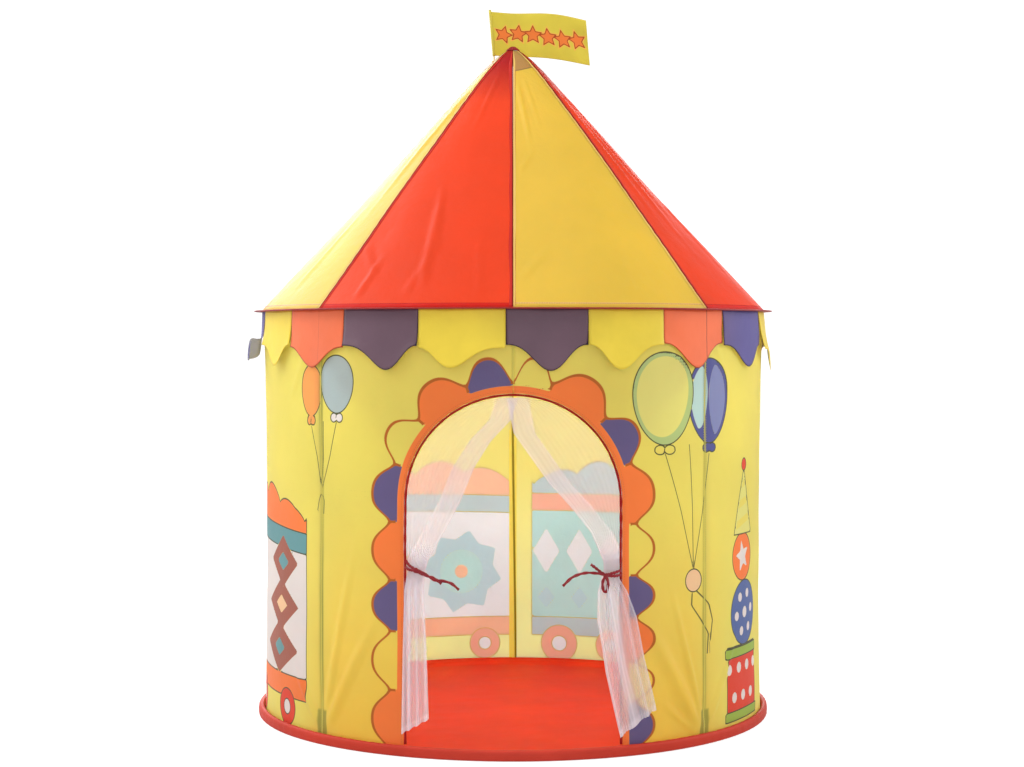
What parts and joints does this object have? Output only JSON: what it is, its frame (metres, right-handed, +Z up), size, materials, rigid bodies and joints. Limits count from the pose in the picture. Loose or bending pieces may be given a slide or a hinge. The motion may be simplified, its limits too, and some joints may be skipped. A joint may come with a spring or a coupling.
{
  "type": "children's circus play tent",
  "caption": "Round child's play tent with a conical striped roof, printed wall, scalloped eave trim, arched doorway with tied-back net curtains and a small flag.",
  "frame": {"origin": "middle of the underside of the floor, on the ground", "axes": "+Z up to the roof's tip; the doorway faces -Y; +X is to the right of a person looking in"},
  "size_m": [1.05, 1.05, 1.4282],
  "materials": {
    "printed_polyester": "printed woven polyester, slightly translucent",
    "red_polyester": "satin woven polyester",
    "yellow_polyester": "satin woven polyester",
    "valance_polyester": "printed woven polyester in blue, yellow and orange",
    "red_binding": "woven binding tape",
    "white_net": "sheer knitted net",
    "red_ribbon": "satin ribbon",
    "webbing": "matt woven webbing",
    "pole_tube": "thin plastic tube",
    "moulding": "moulded plastic"
  },
  "bodies": {
    "root": {"floor_sheet": "red_polyester", "base_hoop_sleeve": "red_binding", "eave_hoop_binding": "red_binding", "wall_front_left": "printed_polyester", "wall_front_right": "printed_polyester", "wall_left": "printed_polyester", "wall_right": "printed_polyester", "wall_back_left": "printed_polyester", "wall_back_right": "printed_polyester", "back_seam_tape": "yellow_polyester", "door_binding": "red_binding", "valance": "valance_polyester", "roof_gore_back_left": "yellow_polyester", "roof_gore_left_back": "red_polyester", "roof_gore_left_front": "yellow_polyester", "roof_gore_front_left": "red_polyester", "roof_gore_front_right": "yellow_polyester", "roof_gore_right_front": "red_polyester", "roof_gore_right_back": "yellow_polyester", "roof_gore_back_right": "red_polyester", "apex_hub": "moulding", "apex_cap": "red_binding", "wall_pole_front_left": "pole_tube", "wall_pole_front_right": "pole_tube", "wall_pole_back_right": "pole_tube", "wall_pole_back_left": "pole_tube", "eave_elbow_front_left": "moulding", "eave_elbow_front_right": "moulding", "eave_elbow_back_right": "moulding", "eave_elbow_back_left": "moulding", "roof_pole_front_left": "pole_tube", "roof_pole_front_right": "pole_tube", "roof_pole_back_right": "pole_tube", "roof_pole_back_left": "pole_tube", "pole_pocket_front_left": "webbing", "pole_pocket_front_right": "webbing", "pole_pocket_back_right": "webbing", "pole_pocket_back_left": "webbing", "curtain_left": "white_net", "curtain_right": "white_net", "tie_left": "red_ribbon", "tie_right": "red_ribbon", "flag": "yellow_polyester", "flag_staff": "pole_tube", "flag_socket": "yellow_polyester"}
  },
  "joints": []
}
